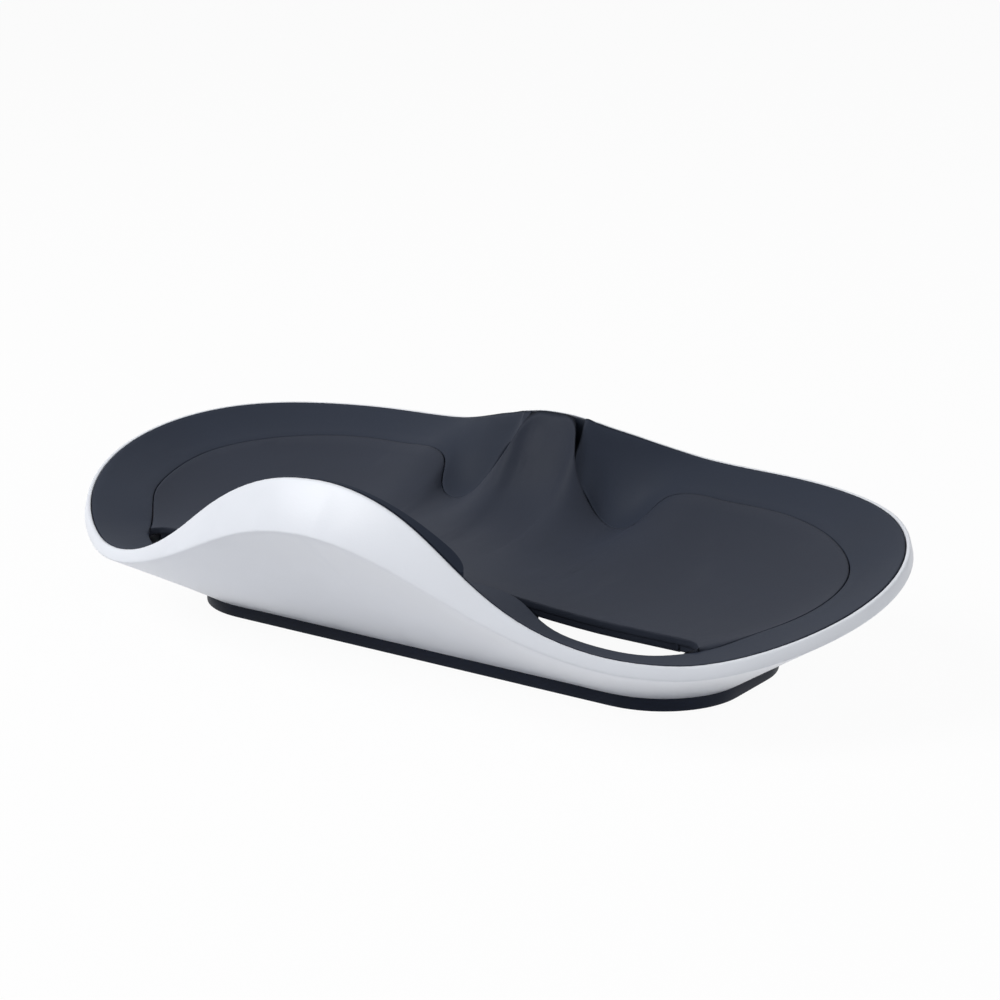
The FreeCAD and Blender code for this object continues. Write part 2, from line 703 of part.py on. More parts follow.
def pad_shape():
    """Its width grows from the middle to near the ends, and then closes in a full round."""
    reach = size("pad_half_width")
    front_rim = [s.rim for s in HALF[:LIP_END]]
    ridge = smooth([flip(p) for p in front_rim[:0:-1]] + front_rim)
    corners = []
    for step in range(-PAD_STEPS, PAD_STEPS + 1):
        share = math.sin(math.pi / 2 * step / PAD_STEPS)
        widened = min(abs(share) / WIDEST_SHARE, 1.0) ** WIDEN_POWER
        wide = size("pad_middle") + (size("pad_end") - size("pad_middle")) * widened
        ending = math.sqrt(1.0 - min(abs(share), 1.0) ** END_POWER)
        rim = at_across(ridge, share * reach)
        front = rim + V(0, 2 * size("fit_gap"), -size("pad_gap"))
        back = front + V(0, size("fit_gap") + wide * ending, 0)
        rest = [on_face(lining_top, p.x, p.y) for p in (back, front)]
        corners.append([front, back] + rest)
    edges = [smooth(row).toShape() for row in zip(*corners)]
    faces = [Part.makeRuledSurface(a, b) for a, b in zip(edges, edges[1:] + edges[:1])]
    for end in (corners[0], corners[-1]):
        faces.append(Part.Face(Part.makePolygon(end + end[:1])))
    skins = Part.makeCompound(faces)
    skins.sewShape()
    solid = Part.Solid(Part.Shell(skins.Faces))
    if solid.Volume < 0:
        solid.reverse()
    return solid


hump_pad = feature("hump_pad", pad_shape())

# The base: a ring with a floor, two windows in it, an upstand inside the shell, and a block that
# carries the power inlet.
base = new_body("base_frame")
outline = level_sketch(base, "BaseOutline", "foot_proud")
around = (["-base_half_width"], ["base_half_width"], ["base_front"], ["base_front", "base_depth"])


def inside(*gap):
    """The base's outline moved in by a sum of sizes."""
    less = opposite(gap)
    left, right, front, back = around
    return left + list(gap), right + less, front + list(gap), back + less, ["base_corner"] + less


draw_rounded(outline, *around, ["base_corner"])
add_pad(base, "BaseBlock", outline, "shell_foot", "-foot_proud")
tray = level_sketch(base, "BaseInside", "shell_foot")
draw_rounded(tray, *inside("base_wall"))
add_pocket(base, "BaseHollow", tray, "shell_foot", "-foot_proud", "-base_plate")
spigot = level_sketch(base, "SpigotRing", "shell_foot")
draw_rounded(spigot, *inside("spigot_inset"))
draw_rounded(spigot, *inside("base_wall"))
add_pad(base, "Spigot", spigot, "spigot_height")
windows = level_sketch(base, "BaseWindows", "foot_proud", "base_plate")
window_ends = (["window_front"], ["window_back"], ["window_corner"])
draw_rounded(windows, ["window_inner"], ["window_outer"], *window_ends)
draw_rounded(windows, ["-window_outer"], ["-window_inner"], *window_ends)
add_pocket(base, "Windows", windows)
rest = level_sketch(base, "InletRest", "foot_proud", "base_plate")
draw_rectangle(rest, ["-inlet_rest"], ["inlet_rest"], ["inlet_front"], ["window_back"])
add_pad(base, "InletBlock", rest, "inlet_height", "-inlet_half_width", "-foot_proud", "-base_plate")
strips = level_sketch(base, "FootRecesses", "foot_proud")
front_strip = (["base_front", "foot_edge", "-fit_gap"], ["base_front", "foot_edge", "foot_width", "fit_gap"])
edge = ["base_front", "base_depth", "-foot_edge"]
back_strip = (edge + ["-foot_width", "-fit_gap"], edge + ["fit_gap"])
near, far = ["foot_inner", "-fit_gap"], ["foot_inner", "foot_length", "fit_gap"]
for strip in (front_strip, back_strip):
    draw_rectangle(strips, near, far, *strip)
    draw_rectangle(strips, opposite(far), opposite(near), *strip)
add_pocket(base, "FootSlots", strips, "foot_recess", upward=True)
clearances = (
    ("Shank", "screw_radius", ()),
    ("Head", "screw_head_radius", ("screw_head", "fit_gap")),
)
for name, gap, depth in clearances:
    holes = level_sketch(base, name + "Holes", "foot_proud")
    for back in ("post_front", "post_back"):
        draw_circle(holes, ["post_across"], [back], gap, "fit_gap")
        draw_circle(holes, ["-post_across"], [back], gap, "fit_gap")
    add_pocket(base, name + "Clearance", holes, *depth, upward=True)

# Foot strips and base screws.
strip_backs = (("front", total("base_front", "foot_edge")),
               ("rear", total("base_front", "base_depth", "-foot_edge", "-foot_width")))
feet = []
for place, back in strip_backs:
    for side, sign in SIDES:
        start = size("foot_inner") if sign > 0 else -total("foot_inner", "foot_length")
        foot = box("%s_foot_%s" % (place, side), offset(HERE, start, back), Length=["foot_length"],
                   Width=["foot_width"], Height=["foot_proud", "foot_recess"])
        feet.append(foot)
screw_parts = []
head_top = total("foot_proud", "screw_head", "fit_gap")
for number, (x, y) in enumerate(posts):
    head = cylinder("BaseScrewHead%d" % number, offset(HERE, x, y, head_top - size("screw_head")),
                    Radius=["screw_head_radius"], Height=["screw_head"])
    shank_sides = {"Radius": ["screw_radius"],
                   "Height": ["screw_length", "-screw_head", "-fit_gap", "-foot_proud"]}
    shank = cylinder("BaseScrewShank%d" % number, offset(HERE, x, y, head_top), **shank_sides)
    screw_parts += [head, shank]
base_screws = joined("base_screws", screw_parts)

# Each charging socket: a cup, an insulator on its floor and four contact pins.
pieces = [outer_shell, lining, floor_panel, hump_pad, base, base_screws] + feet
for side, sign in SIDES:
    cup = new_body("socket_" + side)
    mouth = level_sketch(cup, "Outside", "socket_lip")
    draw_long_round(mouth, "socket_straight", "socket_radius", "socket_wall")
    add_pad(cup, "Cup", mouth, "socket_lip", "socket_depth", "socket_wall", downward=True)
    hollow = level_sketch(cup, "Opening", "socket_lip")
    draw_long_round(hollow, "socket_straight", "socket_radius")
    add_pocket(cup, "Hollow", hollow, "socket_lip", "socket_depth")
    cup.Placement = sockets[side]
    floor = offset(sockets[side], z=-size("socket_depth"))
    corner = offset(floor, -size("block_length") / 2, -size("block_width") / 2)
    block = box("Block" + side, corner, Length=["block_length"], Width=["block_width"],
                Height=["block_height"])
    bores, pins = [], []
    for number in range(4):
        stand = offset(floor, (number - 1.5) * size("pin_spacing"))
        tall = ["block_height", "pin_proud"]
        pins.append(cylinder("Pin%s%d" % (side, number), stand, Radius=["pin_radius"], Height=tall))
        bores.append(cylinder("PinBore%s%d" % (side, number), stand, Radius=["pin_radius"], Height=tall))
    pieces.append(cup)
    pieces.append(cut_from("contact_block_" + side, block, joined("PinBores" + side, bores)))
    pieces.append(joined("contact_pins_" + side, pins))

# The power inlet, at the middle of the back.
inlet_frame = FreeCAD.Placement(V(0, size("inlet_front"), size("inlet_height")), FreeCAD.Rotation())
half_inlet = size("inlet_half_width")
inlet_body = box("InletBody", offset(inlet_frame, -half_inlet, 0, -half_inlet),
                 Length=["inlet_half_width"] * 2, Width=["inlet_length"], Height=["inlet_half_width"] * 2)
backwards = FreeCAD.Rotation(V(1, 0, 0), -90)


def along_inlet(back):
    return FreeCAD.Placement(V(0, size("inlet_front") + back, size("inlet_height")), backwards)


inlet_end = total("inlet_length", "inlet_nose_length")
nose = cylinder("InletNose", along_inlet(size("inlet_length")), Radius=["inlet_nose_radius"],
                Height=["inlet_nose_length"])
bore = cylinder("InletBore", along_inlet(inlet_end - size("inlet_bore_depth")), Radius=["inlet_bore_radius"],
                Height=["inlet_bore_depth"])
pin = cylinder("InletPin", along_inlet(inlet_end - size("inlet_bore_depth")), Radius=["inlet_pin_radius"],
               Height=["inlet_pin_length"])
inlet_block = cut_from("InletBlockWithBore", joined("InletOutside", [inlet_body, nose]), bore)
pieces.append(joined("power_inlet", [inlet_block, pin]))

# The board bay inside the hump lies along the shell's sloping face: y runs down the slope from the
# crease, and z runs in from the outside of the shell.
crease = crease_point(HALF[0], 0)
slope_foot = base_outline_point(HALF[0], size("shell_overhang"))
fall = math.degrees(math.atan2(crease.z - slope_foot.z, slope_foot.y - crease.y))
bay = FreeCAD.Placement(crease, FreeCAD.Rotation(V(1, 0, 0), -fall))
carrier_foot = size("carrier_lift")
carrier_corner = offset(bay, -size("carrier_half_width"), size("carrier_start"), carrier_foot)
carrier_plate = box("CarrierPlate", carrier_corner, Length=["carrier_half_width"] * 2, Width=["carrier_length"],
                    Height=["carrier_wall"])
carrier_parts = [carrier_plate]
board_level = total("carrier_lift", "carrier_wall", "standoff_height")
across = total("board_half_width", "-board_margin")
down_slope = [total("board_start", "board_margin"), total("board_start", "board_length", "-board_margin")]
corners = [(x, y) for x in (-across, across) for y in down_slope]
for number, (x, y) in enumerate(corners):
    carrier_parts.append(cylinder("Standoff%d" % number, offset(bay, x, y, carrier_foot),
                                  Radius=["standoff_radius"], Height=["carrier_wall", "standoff_height"]))
    carrier_parts.append(cylinder("CarrierLeg%d" % number, offset(bay, x, y, -size("leg_reach")),
                                  Radius=["standoff_radius"], Height=["leg_reach", "carrier_lift"]))
screw_bores, screw_solids, board_bores = [], [], []
shank = ["carrier_wall", "standoff_height", "board_thickness"]
for number, (x, y) in enumerate(corners):
    low = offset(bay, x, y, carrier_foot)
    screw_bores.append(cylinder("CarrierBore%d" % number, low, Radius=["board_screw_radius"], Height=shank))
    board_bores.append(cylinder("BoardBore%d" % number, low, Radius=["board_screw_radius"], Height=shank))
    screw_solids.append(cylinder("BoardShank%d" % number, low, Radius=["board_screw_radius"], Height=shank))
    top = offset(bay, x, y, total("carrier_lift", *shank))
    screw_solids.append(cylinder("BoardScrewHead%d" % number, top, Radius=["board_screw_head_radius"],
                                 Height=["board_screw_head"]))
carrier_solid = joined("CarrierSolid", carrier_parts)
carrier_drilled = cut_from("CarrierDrilled", carrier_solid, joined("CarrierBores", screw_bores))
doc.recompute()
fitted = carrier_drilled.Shape.cut(shell_solid, SEW)
pieces.append(feature("board_carrier", max(fitted.Solids, key=lambda solid: solid.Volume)))
board_plate = box("BoardPlate", offset(bay, -size("board_half_width"), size("board_start"), board_level),
                  Length=["board_half_width"] * 2, Width=["board_length"], Height=["board_thickness"])
pieces.append(cut_from("main_board", board_plate, joined("BoardBores", board_bores)))
pieces.append(joined("board_screws", screw_solids))

# What stands on the board: across and down the slope as shares of the board's half width and
# length, then the component's own length, width and height.
ON_BOARD = (
    ("Processor", -0.24, 0.28, 9.0, 9.0, 1.4),
    ("Regulator", 0.24, 0.22, 6.0, 5.0, 1.8),
    ("Coil", 0.24, 0.53, 8.0, 8.0, 3.2),
    ("Capacitor", -0.55, 0.59, 5.0, 5.0, 3.6),
    ("Driver", -0.61, 0.25, 6.0, 4.0, 1.2),
)
on_top = total("carrier_lift", "carrier_wall", "standoff_height", "board_thickness")
chips = []
for name, x_share, y_share, length, width, height in ON_BOARD:
    chip = doc.addObject("Part::Box", name)
    chip.Length = length
    chip.Width = width
    chip.Height = height
    x = x_share * size("board_half_width")
    y = size("board_start") + y_share * size("board_length")
    chip.Placement = offset(bay, x - length / 2, y, on_top)
    chips.append(chip)
plug_sides = {"Length": ["plug_length"], "Width": ["plug_width"], "Height": ["plug_height"]}
plug_x = total("board_half_width", "-plug_length")
plug_y = size("plug_place")
chips.append(box("PlugRight", offset(bay, plug_x, plug_y, on_top), **plug_sides))
chips.append(box("PlugLeft", offset(bay, -size("board_half_width"), plug_y, on_top), **plug_sides))
inlet_plug_y = total("board_start", "board_length", "-plug_width")
chips.append(box("PlugInlet", offset(bay, -size("plug_length") / 2, inlet_plug_y, on_top), **plug_sides))
pieces.append(joined("board_parts", chips))

# The cover that closes the bay towards the tray, with a notch for the inlet's lead.
under_floor = floor_top.copy()
under_floor.translate(down(total("floor_wall", "fit_gap")))
cover_space = under_floor.extrude(down(size("hump_height")))
cover = Part.makeBox(2 * size("cover_half_width"), size("cover_wall"), size("hump_height"),
                     V(-size("cover_half_width"), size("cover_back"), plate_top)).common(cover_space)
notch = Part.makeBox(2 * size("cover_notch"), 3 * size("cover_wall"), size("cover_notch_height"),
                     V(-size("cover_notch"), size("cover_back") - size("cover_wall"), plate_top))
pieces.append(feature("bay_cover", cover.cut(notch)))


# Leads: round tubes along straight runs that are joined by tangent arcs. An arc takes this share of
# the shorter of its two runs.
BEND_SHARE = 0.45


def lead(label, points, radius):
    edges = []
    start = points[0]
    for before, here, after in zip(points, points[1:], points[2:]):
        arriving = here - before
        leaving = after - here
        half_turn = arriving.getAngle(leaving) / 2
        cut_back = BEND_SHARE * min(arriving.Length, leaving.Length)
        first = here - arriving.normalize() * cut_back
        last = here + leaving.normalize() * cut_back
        middle = here + ((first + last) / 2 - here) / (1 + math.cos(half_turn))
        edges += [Part.LineSegment(start, first).toShape(), Part.Arc(first, middle, last).toShape()]
        start = last
    edges.append(Part.LineSegment(start, points[-1]).toShape())
    path = Part.Wire(edges)
    section = Part.Wire(Part.Circle(points[0], points[1] - points[0], radius).toShape())
    return feature(label, path.makePipeShell([section], True, True))


plug_middle = on_top + size("plug_height") / 2
cup_side = total("socket_straight", "socket_radius", "socket_wall")
for side, sign in SIDES:
    route = []
    for run in (0.0, size("lead_stub")):
        route.append(sockets[side].multVec(V(-sign * (cup_side + run), 0, -size("lead_depth"))))
    for run in (size("side_plug_stub"), 0.0):
        beside = sign * (size("board_half_width") + run)
        route.append(bay.multVec(V(beside, plug_y + size("plug_width") / 2, plug_middle)))
    pieces.append(lead("lead_" + side, route, size("socket_lead_radius")))

# The inlet's lead runs forward over the base and through the notch in the cover: shares of the way
# from the cover to the inlet, and how far it sinks below the inlet's middle there.
OVER_BASE = ((0.872, 5.5), (0.651, 10.0), (0.394, 11.2), (0.156, 9.0), (-0.037, 3.0))
way_back = total("inlet_front", "-cover_back")
route = [V(0, size("inlet_front"), size("inlet_height"))]
route.append(route[0] - V(0, size("lead_stub"), 0))
for share, sunk in OVER_BASE:
    route.append(V(0, size("cover_back") + share * way_back, size("inlet_height") - sunk))
for run in (size("inlet_plug_stub"), 0.0):
    route.append(bay.multVec(V(0, inlet_plug_y + size("plug_width") + run, plug_middle)))
pieces.append(lead("inlet_lead", route, size("inlet_lead_radius")))

# The origin goes to the middle of the bounding box, at the table.
doc.recompute()
extent = outer_shell.Shape.optimalBoundingBox()
to_origin = FreeCAD.Placement(V(0, -extent.Center.y, 0), FreeCAD.Rotation())
for piece in pieces:
    piece.Placement = to_origin.multiply(piece.Placement)
doc.recompute()

faults = []
for thing in doc.Objects:
    if "Invalid" in thing.State or "Error" in thing.State:
        faults.append(thing.Name + " " + " ".join(thing.State))
for piece in pieces:
    if piece.Shape.isNull() or not piece.Shape.isValid() or not piece.Shape.Solids:
        faults.append(piece.Label + " has no valid solid")
if faults:
    raise RuntimeError("; ".join(faults))
os.makedirs("parts", exist_ok=True)
for piece in pieces:
    label = piece.Label
    piece.Shape.exportStep("parts/%s.step" % label)
    bounds = piece.Shape.BoundBox
    spans = (bounds.XMin, bounds.XMax, bounds.YMin, bounds.YMax, bounds.ZMin, bounds.ZMax)
    print("%-20s %8.1f mm3 %d solids" % (label, piece.Shape.Volume, len(piece.Shape.Solids)),
          "x %.1f %.1f y %.1f %.1f z %.1f %.1f" % spans)
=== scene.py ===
import math

import bpy
from bpy.props import FloatProperty, FloatVectorProperty, PointerProperty
from bpy.types import Operator, Panel, PropertyGroup
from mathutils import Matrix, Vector


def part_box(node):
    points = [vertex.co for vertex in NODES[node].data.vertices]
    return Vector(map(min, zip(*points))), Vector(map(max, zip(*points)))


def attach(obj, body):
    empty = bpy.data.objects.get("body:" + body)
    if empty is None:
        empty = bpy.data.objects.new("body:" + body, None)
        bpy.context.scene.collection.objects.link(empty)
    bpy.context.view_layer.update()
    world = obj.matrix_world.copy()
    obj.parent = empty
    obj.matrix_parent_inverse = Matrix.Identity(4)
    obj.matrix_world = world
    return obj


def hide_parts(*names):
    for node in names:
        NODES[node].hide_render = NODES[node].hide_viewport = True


bl_info = {
    "name": "Controller charging station",
    "version": (1, 0, 0),
    "blender": (4, 5, 0),
    "location": "View3D > Sidebar > Charging station",
    "description": "Dresses the moulded tray, its base and its electronics, and sets the stage",
    "category": "Object",
}

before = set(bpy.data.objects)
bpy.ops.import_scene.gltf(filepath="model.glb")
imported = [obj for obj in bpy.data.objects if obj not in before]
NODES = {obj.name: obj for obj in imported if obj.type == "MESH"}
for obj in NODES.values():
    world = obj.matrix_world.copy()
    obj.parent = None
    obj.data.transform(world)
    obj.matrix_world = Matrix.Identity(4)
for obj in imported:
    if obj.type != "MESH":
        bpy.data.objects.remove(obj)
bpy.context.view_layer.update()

# Lengths are in metres and angles in degrees.
MERGE_DISTANCE = 0.000002
SHARP_EDGE = 50.0
SHELL_CREASE = 28.0
PIN_ROUNDING = 0.00022
SCREW_HEAD_RADIUS = 0.0025
RECESS_SIDES = 6

# The tongue between the bowls, and how many passes even out its flanks.
TONGUE_HALF_WIDTH = 0.040
TONGUE_PASSES = 20

# The curved ends of the floor panel's hem: their reach, their section and how far they bend.
HEM_START, HEM_END = 0.0950, 0.1030
HEM_THICKNESS, HEM_HEIGHT = 0.0020, 0.0033
HEM_INSET, HEM_DROP = 0.0012, 0.00275
HEM_TOP = 0.0264
BEND_START, BEND_LENGTH, BEND_DEPTH = 0.0965, 0.0086, 0.0054

# The plated barrel in the inlet.
BARREL_RADIUS, BARREL_LENGTH = 0.00272, 0.0072
BARREL_INSET, BARREL_WALL = 0.0004, 0.00022

# Marks on moulded plastic: broad flow, traces of handling, and pits in the grain.
FLOW_SIZE, FLOW_STRETCH = 0.045, (1.0, 1.6, 2.2)
MARK_SIZE, MARK_STRETCH = 0.016, (1.0, 0.35, 1.0)
PIT_SPACING = 1.7
SHELL_VARIATION = 0.012

# Colours of the small fittings.
SOCKET_COLOUR = (0.010, 0.011, 0.014)
INSULATOR_COLOUR = (0.014, 0.014, 0.016)
INLET_COLOUR = (0.016, 0.016, 0.018)
BARREL_COLOUR = (0.62, 0.60, 0.56)
CARRIER_COLOUR = (0.05, 0.05, 0.055)
RESIN_COLOUR = (0.018, 0.018, 0.020)
SLEEVE_COLOUR = (0.022, 0.022, 0.024)

# The stage.
FLOOR_SPAN = 6.0
FLOOR_COLOUR = (0.86, 0.86, 0.87, 1.0)
SKY_COLOUR = (0.97, 0.985, 1.0, 1.0)
LIGHT_AIM = (0.0, 0.0, 0.03)
TOP_SHARE = 0.6
CAMERA_PLACE = (0.458377, -0.635931, 0.271697)
CAMERA_TILT, CAMERA_TURN = 74.0, 34.756
CAMERA_LENS, SENSOR_WIDTH = 93.34, 36.0


# Sizes and colours that a user may change.
def colour_property(name, description, default):
    return FloatVectorProperty(
        name=name, description=description, subtype="COLOR", size=3, min=0.0, max=1.0, default=default
    )


def length_property(name, description, default):
    return FloatProperty(
        name=name, description=description, subtype="DISTANCE", unit="LENGTH", min=0.0, precision=5, default=default
    )


def share_property(name, description, default):
    return FloatProperty(name=name, description=description, subtype="FACTOR", min=0.0, max=1.0, default=default)


class StationMouldings(PropertyGroup):
    shell_colour: colour_property("Shell", "Colour of the outer shell", (0.755, 0.78, 0.835))
    shell_roughness: share_property("Shell roughness", "How matt the outer shell is", 0.36)
    lining_colour: colour_property("Lining", "Colour of the dished lining", (0.022, 0.028, 0.044))
    floor_colour: colour_property("Floor panel", "Colour of the two bowls", (0.025, 0.030, 0.045))
    dark_roughness: share_property("Dark roughness", "How matt the dark mouldings are", 0.58)
    base_colour: colour_property("Base", "Colour of the base frame", (0.008, 0.012, 0.024))
    edge_rounding: length_property("Edges", "Rounding of the large mouldings' edges", 0.0009)
    grain_size: length_property("Grain", "Size of the grain on the moulded faces", 0.00045)
    grain_depth: length_property("Grain depth", "Height of that grain", 0.00002)


class StationFittings(PropertyGroup):
    pad_colour: colour_property("Pad", "Colour of the soft pad on the hump", (0.010, 0.015, 0.028))
    rubber_colour: colour_property("Feet", "Colour of the foot strips", (0.018, 0.018, 0.019))
    pin_colour: colour_property("Pins", "Colour of the contact pins", (0.86, 0.62, 0.28))
    steel_colour: colour_property("Screws", "Colour of the screws", (0.52, 0.52, 0.53))
    recess_radius: length_property("Recess", "Radius of the drive recess in a screw head", 0.0013)
    recess_depth: length_property("Recess depth", "Depth of that recess", 0.0007)
    edge_radius: length_property("Edge", "Rounding of small moulded edges", 0.0002)
    foot_radius: length_property("Foot edge", "Rounding of the foot strips", 0.0003)


class StationStage(PropertyGroup):
    key_power: FloatProperty(name="Key", description="Power of the key light", unit="POWER", min=0.0, default=20.5)
    fill_power: FloatProperty(name="Fill", description="Power of the fill light", unit="POWER", min=0.0, default=6.0)
    sky_strength: share_property("Sky", "Light from all round", 0.20)
    floor_lift: share_property("Floor", "Share of plain white in the floor as it is seen", 0.95)


# Objects and selections.
def pick(piece):
    """Makes one object the only one that an operator acts on."""
    if bpy.context.mode != "OBJECT":
        bpy.ops.object.mode_set(mode="OBJECT")
    bpy.ops.object.select_all(action="DESELECT")
    piece.select_set(True)
    bpy.context.view_layer.objects.active = piece


def take_copy(node, name):
    """A merged copy of a CAD node, ready for its edges to be worked on."""
    piece = bpy.data.objects.new(name, NODES[node].data.copy())
    bpy.context.scene.collection.objects.link(piece)
    pick(piece)
    bpy.ops.object.mode_set(mode="EDIT")
    bpy.ops.mesh.select_all(action="SELECT")
    bpy.ops.mesh.remove_doubles(threshold=MERGE_DISTANCE)
    bpy.ops.object.mode_set(mode="OBJECT")
    bpy.ops.mesh.customdata_custom_splitnormals_clear()
    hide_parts(node)
    return piece


def edit_sharp_edges(piece, angle):
    """Opens a piece for editing, with the edges selected that are sharper than the angle."""
    pick(piece)
    bpy.ops.object.mode_set(mode="EDIT")
    bpy.ops.mesh.select_mode(type="EDGE")
    bpy.ops.mesh.select_all(action="DESELECT")
    bpy.ops.mesh.edges_select_sharp(sharpness=math.radians(angle))


def round_sharp_edges(piece, radius, angle=SHARP_EDGE, segments=2):
    """Bevels the edges that are sharper than the angle."""
    edit_sharp_edges(piece, angle)
    bpy.ops.mesh.bevel(offset=radius, segments=segments, affect="EDGES", clamp_overlap=True)
    bpy.ops.object.mode_set(mode="OBJECT")


def settle(piece, finish, smooth=35.0):
    """Smooths a finished piece, gives it its finish, and puts it on the object."""
    pick(piece)
    bpy.ops.object.transform_apply(location=True, rotation=True, scale=True)
    bpy.ops.object.shade_smooth_by_angle(angle=math.radians(smooth))
    piece.data.materials.clear()
    piece.data.materials.append(finish)
    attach(piece, "root")


def dress(node, finish):
    """Gives a CAD node its finish."""
    mesh = NODES[node].data
    mesh.materials.clear()
    mesh.materials.append(finish)


def join_pieces(pieces, name):
    """Joins pieces into the first one, under a new name."""
    pick(pieces[0])
    for piece in pieces[1:]:
        piece.select_set(True)
    bpy.ops.object.join()
    joined = bpy.context.view_layer.objects.active
    joined.name = name
    return joined


def added(name, make, **settings):
    """The object that an operator for a new mesh leaves active, with its transforms applied."""
    bpy.ops.object.select_all(action="DESELECT")
    make(**settings)
    piece = bpy.context.view_layer.objects.active
    piece.name = name
    bpy.ops.object.transform_apply(location=True, rotation=True, scale=True)
    return piece


# Shader maths.
class Field:
    """A value that changes over a surface. Sums and products of fields add their Math nodes."""

    def __init__(self, graph, socket):
        self.graph = graph
        self.socket = socket

    def math(self, operation, *others):
        return self.graph.node("ShaderNodeMath", {"operation": operation}, dict(enumerate((self, *others))))

    def __add__(self, other):
        return self.math("ADD", other)

    __radd__ = __add__

    def __mul__(self, other):
        return self.math("MULTIPLY", other)

    __rmul__ = __mul__

    def __sub__(self, other):
        return self.math("SUBTRACT", other)

    def __rsub__(self, other):
        return self.graph.node("ShaderNodeMath", {"operation": "SUBTRACT"}, {0: other, 1: self})

    def ramp(self, low, high):
        """Zero below low, one above high, and smooth between."""
        settings = {"interpolation_type": "SMOOTHSTEP"}
        return self.graph.node("ShaderNodeMapRange", settings, {"Value": self, "From Min": low, "From Max": high})


class Graph:
    """A node tree under construction, with nothing in it but its output."""

    def __init__(self, owner, output):
        owner.use_nodes = True
        self.tree = owner.node_tree
        self.tree.nodes.clear()
        self.output = self.tree.nodes.new(output)

    def node(self, kind, settings, values, output=0):
        made = self.tree.nodes.new(kind)
        for key, value in settings.items():
            setattr(made, key, value)
        for key, value in values.items():
            self.feed(made.inputs[key], value)
        return Field(self, made.outputs[output])

    def feed(self, socket, value):
        if isinstance(value, Field):
            self.tree.links.new(value.socket, socket)
        else:
            socket.default_value = value

    def show(self, shader):
        """Sends a shader to the output."""
        self.feed(self.output.inputs[0], shader)

    def seen_by_eye(self):
        """One for rays that show the background, straight or in a reflection."""
        path = self.node("ShaderNodeLightPath", {}, {}).socket.node
        camera, glossy, clear = (
            Field(self, path.outputs[name]) for name in ("Is Camera Ray", "Is Glossy Ray", "Is Transmission Ray")
        )
        return camera.math("MAXIMUM", glossy).math("MAXIMUM", clear)


class Finish(Graph):
    """A material under construction, with its principled shader."""

    def __init__(self, name):
        self.material = bpy.data.materials.new(name)
        super().__init__(self.material, "ShaderNodeOutputMaterial")
        shader = self.node("ShaderNodeBsdfPrincipled", {}, {})
        self.shader = shader.socket.node
        self.show(shader)
        self.place = self.node("ShaderNodeTexCoord", {}, {}, "Object")

    def noise(self, size, detail=2.0, stretch=(1.0, 1.0, 1.0)):
        """Noise with features of a size in metres."""
        mapped = self.node("ShaderNodeMapping", {}, {"Vector": self.place, "Scale": stretch})
        values = {"Vector": mapped, "Scale": 1.0 / size, "Detail": detail}
        return self.node("ShaderNodeTexNoise", {"noise_dimensions": "3D"}, values, "Fac")

    def cells(self, size):
        """Distance to the nearest of scattered points, with a spacing in metres."""
        values = {"Vector": self.place, "Scale": 1.0 / size}
        return self.node("ShaderNodeTexVoronoi", {"feature": "F1"}, values, "Distance")

    def parts(self, vector):
        """The three components of a vector."""
        split = self.node("ShaderNodeSeparateXYZ", {}, {0: vector})
        return [Field(self, output) for output in split.socket.node.outputs]

    def mix(self, factor, first, second):
        """The first colour where the factor is zero, and the second where it is one."""
        return self.node("ShaderNodeMix", {"data_type": "RGBA"}, {0: factor, 6: first, 7: second}, 2)

    def bump(self, height, distance, rounding=0.0):
        """Relief on the surface, whose edges look rounded by a radius when one is given."""
        values = {"Height": height, "Distance": distance, "Strength": 1.0}
        if rounding:
            values["Normal"] = self.node("ShaderNodeBevel", {"samples": 6}, {"Radius": rounding})
        return self.node("ShaderNodeBump", {}, values)

    def shade(self, **sockets):
        """Feeds the shader's sockets, and gives the finished material."""
        for key, value in sockets.items():
            self.feed(self.shader.inputs[key.replace("_", " ")], value)
        return self.material


def tinted(colour, amount):
    """A colour made lighter or darker, as a shader takes it."""
    return tuple(min(1.0, part * amount) for part in colour) + (1.0,)


def moulded_surface(made, colour, roughness, variation, rounding):
    """Broad flow shading, a spark-eroded grain and faint marks from handling: colour, grain, roughness, relief."""
    looks = bpy.context.scene.station_mouldings
    tone = made.noise(FLOW_SIZE, 3.0, FLOW_STRETCH).ramp(0.3, 0.7)
    grain = made.noise(looks.grain_size, 3.0)
    pits = made.cells(looks.grain_size * PIT_SPACING)
    marks = made.noise(MARK_SIZE, 4.0, MARK_STRETCH).ramp(0.56, 0.74)
    shown = made.mix(tone, tinted(colour, 1.0 - variation), tinted(colour, 1.0 + variation))
    rough_field = roughness - 0.035 + 0.05 * grain + 0.03 * tone - 0.05 * marks
    relief = made.bump(grain * 0.7 + pits * 0.5, looks.grain_depth, rounding)
    return shown, grain, rough_field, relief


def moulded_finish(name, colour, roughness, variation, coat=0.0, rounding=0.0):
    """Dark moulded plastic, whose grain is a little darker than its face."""
    made = Finish(name)
    shown, grain, rough_field, relief = moulded_surface(made, colour, roughness, variation, rounding)
    shown = made.mix(grain.ramp(0.35, 0.8) * 0.35, shown, tinted(colour, 1.0 - 2 * variation))
    return made.shade(Base_Color=shown, Roughness=rough_field, Normal=relief, Coat_Weight=coat, IOR=1.22)


